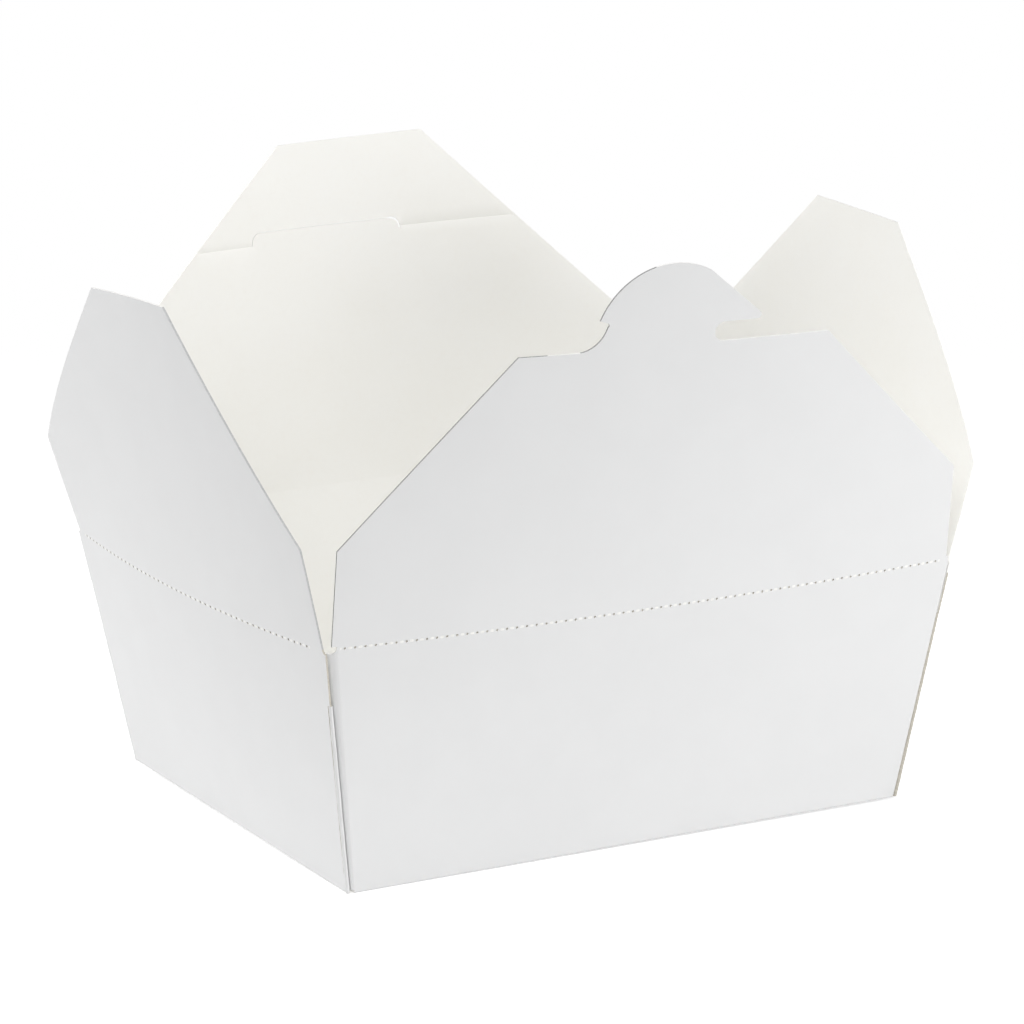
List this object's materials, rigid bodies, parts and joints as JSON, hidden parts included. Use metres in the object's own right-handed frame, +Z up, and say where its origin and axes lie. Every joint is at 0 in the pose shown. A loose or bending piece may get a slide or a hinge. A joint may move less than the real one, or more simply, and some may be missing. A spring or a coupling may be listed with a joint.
{
  "type": "takeout food box",
  "caption": "Takeout food box folded from coated white board, standing open, with hinged top flaps, a locking tab and its slit, and folded corner gussets.",
  "frame": {"origin": "centre of the outer face of the bottom", "axes": "+Z up, +X along the front wall, -Y towards the front wall with the locking tab"},
  "size_m": [0.2046, 0.1697, 0.1522],
  "materials": {
    "coated_board": "satin white coating outside, uncoated cream inside"
  },
  "bodies": {
    "tray": {"tray": "coated_board"},
    "front_flap": {"front_flap": "coated_board"},
    "back_flap": {"back_flap": "coated_board"},
    "left_flap": {"left_flap": "coated_board"},
    "right_flap": {"right_flap": "coated_board"}
  },
  "joints": [
    {"name": "front_flap_fold", "type": "hinge", "parent": "tray", "child": "front_flap", "pos_m": [0, -0.06834, 0.0637], "axis": [-1, 0, 0], "range_deg": [-79, 100]},
    {"name": "back_flap_fold", "type": "hinge", "parent": "tray", "child": "back_flap", "pos_m": [0, 0.06834, 0.0637], "axis": [1, 0, 0], "range_deg": [-80, 100]},
    {"name": "left_flap_fold", "type": "hinge", "parent": "tray", "child": "left_flap", "pos_m": [-0.08675, 0, 0.063], "axis": [0, 1, 0], "range_deg": [-77, 103]},
    {"name": "right_flap_fold", "type": "hinge", "parent": "tray", "child": "right_flap", "pos_m": [0.08675, 0, 0.063], "axis": [0, -1, 0], "range_deg": [-79.5, 100.5]}
  ]
}
